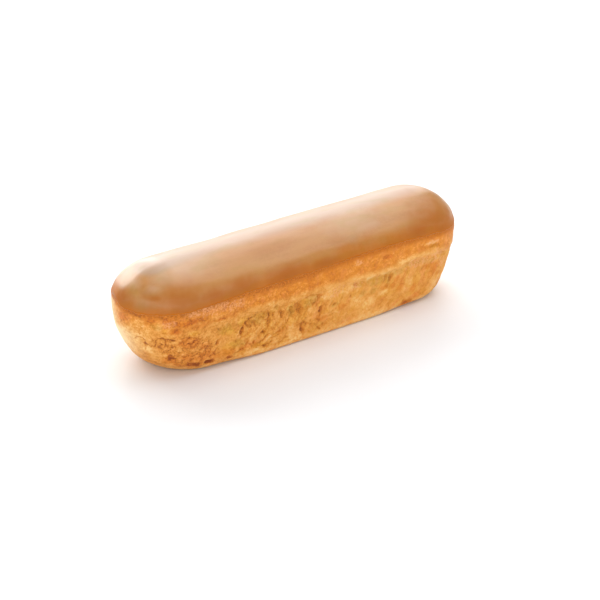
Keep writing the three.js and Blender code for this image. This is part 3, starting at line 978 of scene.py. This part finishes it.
def crust_material(colours):
    shader = Shader("choux_crust", colours)
    times, mix, share, spread = shader.times, shader.mix, shader.share, shader.spread
    mottle = shader.noise(1.3, 3, 0.65)
    specks = shader.noise(0.65, 2, 0.7)
    warmth = shader.noise(3)
    grainy = shader.amount("grainy")
    torn = shader.amount("torn")
    varied, grain, flake_tone, flake_hue = crust_tones(shader, grainy, torn, mottle, specks)

    # The wall, whose dark spots are strengthened and whose pale ones are softened.
    darker = shader.math("MINIMUM", times(varied, 1.35), times(varied, 0.7))
    wall = shader.ramp(
        shader.plus(shader.amount("tone"), darker),
        (
            (0, "burnt"),
            (0.2, "brown"),
            (0.4, "amber"),
            (0.6, "gold"),
            (0.8, "straw"),
            (1, "cream"),
        ),
    )

    # Where it is torn, some flakes are yellower and some are rosier.
    wall = mix(times(spread(flake_hue, 0.55, 0.8), torn), wall, "yellow_tint", "MULTIPLY")
    wall = mix(times(spread(flake_hue, 0.05, 0.25, 1, 0), torn), wall, "rosy_tint", "MULTIPLY")

    # The browner band below the icing.
    tone = shader.plus(shader.amount("tone"), varied)
    band = shader.ramp(
        shader.scaled(varied, 0.4, tone),
        (
            (0, "band_brown"),
            (0.4, "band_dark"),
            (0.6, "band_orange"),
            (0.8, "band_light"),
            (1, "band_pale"),
        ),
    )
    band = mix(spread(warmth, 0.52, 0.68, 0, 0.3), band, "band_rosy")
    band = mix(spread(warmth, 0.32, 0.46, 0.4, 0), band, "band_yellow")

    colour = mix(shader.amount("band"), wall, band)
    # The left tip's pale dough, partly painted light from behind.
    colour = mix(share("dough", 0.7), colour, "dough")
    colour = mix(share("red", 0.75), colour, "baked_tint", "MULTIPLY")
    colour = mix(share("yellow", 0.7), colour, "yolk_tint", "MULTIPLY")
    # Painted olive shade in the hollows and below the lip.
    colour = mix(share("olive", 0.4), colour, "olive_tint", "MULTIPLY")

    # Icing that has sunk into the crust, just below the rim.
    glaze = mix(spread(specks, 0.35, 0.65), "dark_glaze", "pale_glaze")
    glaze = mix(times(grainy, 0.9), "glaze", glaze)
    glazed = shader.scaled(specks, 0.9, shader.amount("near_rim"))
    glazed = spread(shader.scaled(mottle, 0.9, glazed), 1.1, 1.85, 0, 0.95)
    colour = mix(glazed, colour, glaze)

    # Dusty smears, with painted shade below the lip, and painted shadow in dashes just below the
    # icing.
    colour = mix(times(share("smear", 0.7), spread(specks, 0.36, 0.62)), colour, "smear")
    # Painted shadow in dark dashes just below the icing's edge.
    colour = mix(share("creased", 0.75), colour, "burnt")

    normal = shader.bump(times(flake_tone, torn), 0.16, 0.7)
    return shader.set_surface(
        {
            "Base Color": colour,
            "Roughness": spread(torn, 0, 1, 0.52, 0.68),
            "Specular IOR Level": 0.2,
            "Subsurface Weight": 0.05,
            "Subsurface Radius": (1, 0.45, 0.2),
            "Subsurface Scale": 0.6 * MM,
            "Normal": shader.bump(grain, 0.3, 0.8, normal),
        }
    )


def icing_material(colours):
    shader = Shader("coffee_icing", colours)
    mix, share, spread = shader.mix, shader.share, shader.spread
    clouds = shader.noise(9, 2, 0.5, (2.2, 1, 1))
    streaks = shader.noise(2.6, 2, 0.5, (9, 1, 1))
    fine = shader.noise(0.9, 3, 0.65, (1.5, 1, 1))
    tinted = shader.noise(4, 2, 0.5, (2.4, 1, 1))
    thin = shader.amount("thin")
    edge = shader.amount("edge")

    colour = mix(spread(clouds, 0.32, 0.68, 0, 0.7), "caramel", "latte")
    colour = mix(spread(streaks, 0.4, 0.65, 0, 0.5), colour, "latte")
    colour = mix(spread(fine, 0.42, 0.62, 0, 0.45), colour, "latte")
    colour = mix(shader.times(thin, 0.8), colour, "toffee")
    colour = mix(share("haze", 0.5), colour, "haze")
    # Painted sheen and highlight: the palest patches, the top and the rim's glint at the left tip
    # are paler, as where light from behind catches the icing.
    colour = mix(share("pale", 0.8), colour, "pale_icing")
    colour = mix(share("crown", 0.8), colour, "crown")
    colour = mix(spread(tinted, 0.5, 0.68, 0, 0.7), colour, "rosy_icing", "MULTIPLY")
    colour = mix(spread(tinted, 0.32, 0.5, 0.7, 0), colour, "golden_icing", "MULTIPLY")
    colour = mix(share("stain", 0.7), colour, "stain")
    ragged = shader.scaled(shader.noise(0.9, 3, 0.65), 1.6, edge)
    colour = mix(spread(ragged, 1, 1.8, 0, 0.9), colour, "glaze")

    # The gloss is weaker where the icing is thin or dark, and gone at its very edge.
    bare = shader.math("MAXIMUM", thin, share("stain", 0.75))
    coat = shader.times(spread(bare, 0, 1, 1, 0.15), spread(edge, 0.3, 1, 1, 0))
    return shader.set_surface(
        {
            "Base Color": colour,
            "Roughness": 0.6,
            "Specular IOR Level": 0.05,
            "Subsurface Weight": 0.1,
            "Subsurface Radius": (1, 0.55, 0.3),
            "Subsurface Scale": 1.2 * MM,
            "Coat Weight": coat,
            "Coat Roughness": 0.3,
            "Coat IOR": 1.7,
            "Normal": shader.bump(fine, 0.05, 0.3, shader.bump(streaks, 0.12, 0.5)),
        }
    )


def floor_material():
    shader = Shader("pale_table")
    colour = shader.mix(shader.noise(90), display(232, 233, 235), display(240, 240, 241))
    return shader.set_surface({"Base Color": colour, "Roughness": 0.6})


# Stage

# The softboxes: name, azimuth, elevation, width, height and radiance. The angles are in degrees
# and the sizes in metres.
LAMPS = (
    ("window", 178, 22, 0.93, 0.83, 2.35),
    ("backdrop", 142, 28, 0.60, 0.80, 2.2),
    ("high_back", 150, 52, 0.90, 0.50, 0.45),
    ("glare", -173, 27, 0.40, 0.42, 2.6),
    ("left_back", -128, 10, 0.50, 0.35, 0.4),
    ("overhead", 85, 62, 0.93, 0.93, 1.4),
    ("top", 0, 84, 0.93, 0.93, 0.4),
    ("top_left", -70, 70, 0.70, 0.70, 0.35),
    ("front", -8, 22, 1.50, 0.62, 1.15),
    ("left", -75, 18, 0.90, 0.45, 1.8),
)
LAMP_DISTANCE = 1
LAMP_TARGET = Vector((0, 0, 0.02))
ROOM_LIGHT = 0.43
FLOOR_HALF_WIDTH = 3


def towards(azimuth, elevation):
    """The direction from the eclair to a viewer or lamp. Azimuth 0 is in front, at -Y."""
    a, e = math.radians(azimuth), math.radians(elevation)
    return Vector((math.sin(a) * math.cos(e), -math.cos(a) * math.cos(e), math.sin(e)))


def add_facing(name, data, position, target):
    """Adds a camera or lamp at a position, looking at the target."""
    thing = bpy.data.objects.new(name, data)
    bpy.context.collection.objects.link(thing)
    back = (position - target).normalized()
    right = Vector((0, 0, 1)).cross(back).normalized()
    turn = Matrix((right, back.cross(right), back)).transposed()
    thing.matrix_world = Matrix.Translation(position) @ turn.to_4x4()
    return thing


def add_softbox(name, azimuth, elevation, width, height, radiance):
    light = bpy.data.lights.new(name, "AREA")
    light.shape = "RECTANGLE"
    light.size = width
    light.size_y = height
    light.energy = radiance * math.pi * width * height
    add_facing(name, light, towards(azimuth, elevation) * LAMP_DISTANCE, LAMP_TARGET)


def add_camera(view):
    low, high = (Vector(corner) for corner in CAD_BOX)
    centre = (low + high) / 2
    back = towards(math.degrees(view.azimuth), math.degrees(view.elevation))
    camera = bpy.data.cameras.new("camera")
    camera.lens = view.lens
    camera.clip_start = 0.05
    camera.clip_end = 20
    right = Vector((0, 0, 1)).cross(back).normalized()
    aim = centre + right * view.aim_right + back.cross(right) * view.aim_up
    bpy.context.scene.camera = add_facing("camera", camera, centre + back * view.distance, aim)


def add_floor():
    mesh = bpy.data.meshes.new("floor")
    half = FLOOR_HALF_WIDTH
    corners = [(-half, -half, 0), (half, -half, 0), (half, half, 0), (-half, half, 0)]
    mesh.from_pydata(corners, [], [(0, 1, 2, 3)])
    mesh.materials.append(floor_material())
    floor = bpy.data.objects.new("floor", mesh)
    bpy.context.collection.objects.link(floor)


# The add-on


def length_property(name, description, millimetres):
    return bpy.props.FloatProperty(
        name=name, description=description, default=millimetres * MM, unit="LENGTH"
    )


def angle_property(name, description, degrees):
    return bpy.props.FloatProperty(
        name=name, description=description, default=math.radians(degrees), subtype="ANGLE"
    )


def colour_property(name, description, default):
    return bpy.props.FloatVectorProperty(
        name=name, description=description, default=default, min=0, max=1, subtype="COLOR"
    )


class EclairSizes(bpy.types.PropertyGroup):
    lip_crest: length_property("Lip crest", "How far the upper crust's torn edge stands out", 0.36)
    groove_depth: length_property("Groove depth", "How deep the hollow below the lip is", 0.7)
    layer_depth: length_property(
        "Layer depth", "How thick the torn wall's flaking layers are", 0.22
    )
    crinkle_depth: length_property(
        "Crinkle depth", "How far the fine crinkles of the drier crust stand out", 0.26
    )
    lump_depth: length_property(
        "Lump depth", "How far the torn wall's lumps stand in and out", 0.35
    )
    rim_bead: length_property(
        "Rim rounding", "The height over which the icing's rim rounds off", 0.5
    )
    bead_swell: length_property(
        "Rim swell", "How far the icing gathers into a bead at its rim", 0.08
    )
    icing_waves: length_property("Icing waves", "How far the icing's surface undulates", 0.3)


class EclairColours(bpy.types.PropertyGroup):
    burnt: colour_property("Burnt", "The wall's darkest spots", display(142, 76, 28))
    brown: colour_property("Brown", "The wall's pits and creases", display(178, 106, 42))
    amber: colour_property("Amber", "The wall's well baked crust", display(204, 128, 46))
    gold: colour_property("Gold", "The wall's main colour", display(220, 147, 62))
    straw: colour_property("Straw", "The wall's paler dough", display(234, 168, 86))
    cream: colour_property("Cream", "The wall's palest strands", display(246, 202, 130))
    band_brown: colour_property("Band brown", "The band's darkest spots", display(164, 86, 30))
    band_dark: colour_property("Band dark", "The band's darker mottling", display(206, 118, 34))
    band_orange: colour_property("Band orange", "The band's main colour", display(215, 129, 38))
    band_light: colour_property("Band light", "The band's paler mottling", display(227, 144, 50))
    band_pale: colour_property("Band pale", "The band's palest spots", display(242, 166, 82))
    baked_tint: colour_property("Baked tint", "The tint of baked patches", (1.0, 0.80, 0.66))
    yellow_tint: colour_property(
        "Yellow tint", "The tint of the yellowest flakes", (0.97, 0.97, 0.80)
    )
    yolk_tint: colour_property("Yolk tint", "The tint of the yellowest patches", (0.98, 1.0, 0.55))
    rosy_tint: colour_property("Rosy tint", "The tint of the rosiest flakes", (1.0, 0.92, 1.0))
    # Partly painted light from behind at the left tip.
    dough: colour_property("Dough", "The hardly browned tip", display(252, 232, 190))
    glaze: colour_property("Glaze", "Icing sunk into the crust at its rim", display(192, 104, 16))
    dark_glaze: colour_property("Dark glaze", "The rim's darkest specks", display(156, 82, 14))
    pale_glaze: colour_property("Pale glaze", "The rim's palest specks", display(218, 132, 46))
    # Painted shade: the olive tint of hollows.
    olive_tint: colour_property("Olive tint", "The tint of hollows", (0.74, 0.98, 1.0))
    band_rosy: colour_property("Band rosy", "The band's rosier mottling", display(238, 152, 80))
    band_yellow: colour_property(
        "Band yellow", "The band's yellower mottling", display(222, 138, 34)
    )
    # Partly painted shade below the lip.
    smear: colour_property("Smear", "Pinker, dustier patches of the crust", display(236, 171, 117))
    caramel: colour_property("Caramel", "The icing's main colour", (0.455, 0.182, 0.026))
    latte: colour_property("Latte", "The icing's paler clouds", (0.52, 0.230, 0.044))
    toffee: colour_property("Toffee", "The icing where it is thin", (0.492, 0.139, 0.016))
    stain: colour_property("Stain", "Darker patches of the icing", (0.40, 0.112, 0.013))
    # Painted sheen on the icing's top.
    crown: colour_property("Crown", "The icing's palest top", (0.42, 0.265, 0.165))
    # Painted sheen in the icing's palest patches.
    pale_icing: colour_property("Pale icing", "Pale patches of the icing", (0.53, 0.295, 0.14))
    haze: colour_property("Haze", "Milkier patches of the icing", (0.42, 0.178, 0.042))
    rosy_icing: colour_property("Rosy icing", "The tint of rosier icing", (1.0, 0.94, 0.92))
    golden_icing: colour_property("Golden icing", "The tint of yellower icing", (0.93, 0.98, 0.72))


class EclairView(bpy.types.PropertyGroup):
    azimuth: angle_property(
        "Azimuth", "The camera's turn round the eclair, from straight in front", -38.7
    )
    elevation: angle_property("Elevation", "The camera's height angle", 22.3)
    distance: length_property("Distance", "From the camera to the eclair's middle", 917)
    lens: bpy.props.FloatProperty(
        name="Lens", description="The camera's focal length in millimetres", default=150.9
    )
    aim_right: length_property(
        "Aim right", "How far to the right of the eclair's middle the camera looks", 4.2
    )
    aim_up: length_property(
        "Aim up", "How far above the eclair's middle the camera looks", -10.1
    )


class ECLAIR_OT_bun(bpy.types.Operator):
    """Make the baked choux bun"""

    bl_idname = "eclair.bun"
    bl_label = "Make Bun"

    def execute(self, context):
        crust = make_crust(context.scene.eclair_sizes)
        crust.data.materials.append(crust_material(context.scene.eclair_colours))
        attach(crust, "root")
        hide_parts("choux_bun")
        return {"FINISHED"}


class ECLAIR_OT_icing(bpy.types.Operator):
    """Make the coffee icing on the bun"""

    bl_idname = "eclair.icing"
    bl_label = "Make Icing"

    def execute(self, context):
        icing = make_icing(context.scene.eclair_sizes)
        icing.data.materials.append(icing_material(context.scene.eclair_colours))
        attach(icing, "root")
        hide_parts("coffee_icing")
        return {"FINISHED"}


class ECLAIR_OT_stage(bpy.types.Operator):
    """Make the floor, the lamps, the world and the camera"""

    bl_idname = "eclair.stage"
    bl_label = "Make Stage"

    def execute(self, context):
        add_floor()
        for name, azimuth, elevation, width, height, radiance in LAMPS:
            add_softbox(name, azimuth, elevation, width, height, radiance)
        world = bpy.data.worlds.new("studio")
        world.use_nodes = True
        background = world.node_tree.nodes["Background"]
        background.inputs["Color"].default_value = (1, 1, 1, 1)
        background.inputs["Strength"].default_value = ROOM_LIGHT
        context.scene.world = world
        context.scene.view_settings.view_transform = "Standard"
        add_camera(context.scene.eclair_view)
        return {"FINISHED"}


class ECLAIR_PT_panel(bpy.types.Panel):
    """Lists the eclair's pieces, sizes and colours"""

    bl_idname = "ECLAIR_PT_panel"
    bl_label = "Iced Eclair"
    bl_space_type = "VIEW_3D"
    bl_region_type = "UI"
    bl_category = "Eclair"

    def draw(self, context):
        for operator in OPERATORS:
            self.layout.operator(operator.bl_idname)
        for group in GROUPS:
            box = self.layout.box()
            settings = getattr(context.scene, group)
            for key in settings.__annotations__:
                box.prop(settings, key)


OPERATORS = (ECLAIR_OT_bun, ECLAIR_OT_icing, ECLAIR_OT_stage)
GROUPS = {
    "eclair_sizes": EclairSizes,
    "eclair_colours": EclairColours,
    "eclair_view": EclairView,
}


def register():
    for made in (*GROUPS.values(), *OPERATORS, ECLAIR_PT_panel):
        bpy.utils.register_class(made)
    for name, group in GROUPS.items():
        setattr(bpy.types.Scene, name, bpy.props.PointerProperty(type=group))


def unregister():
    for name in GROUPS:
        delattr(bpy.types.Scene, name)
    for made in reversed((*GROUPS.values(), *OPERATORS, ECLAIR_PT_panel)):
        bpy.utils.unregister_class(made)


def main():
    register()
    bpy.ops.eclair.bun()
    bpy.ops.eclair.icing()
    bpy.ops.eclair.stage()


if __name__ == "__main__":
    main()
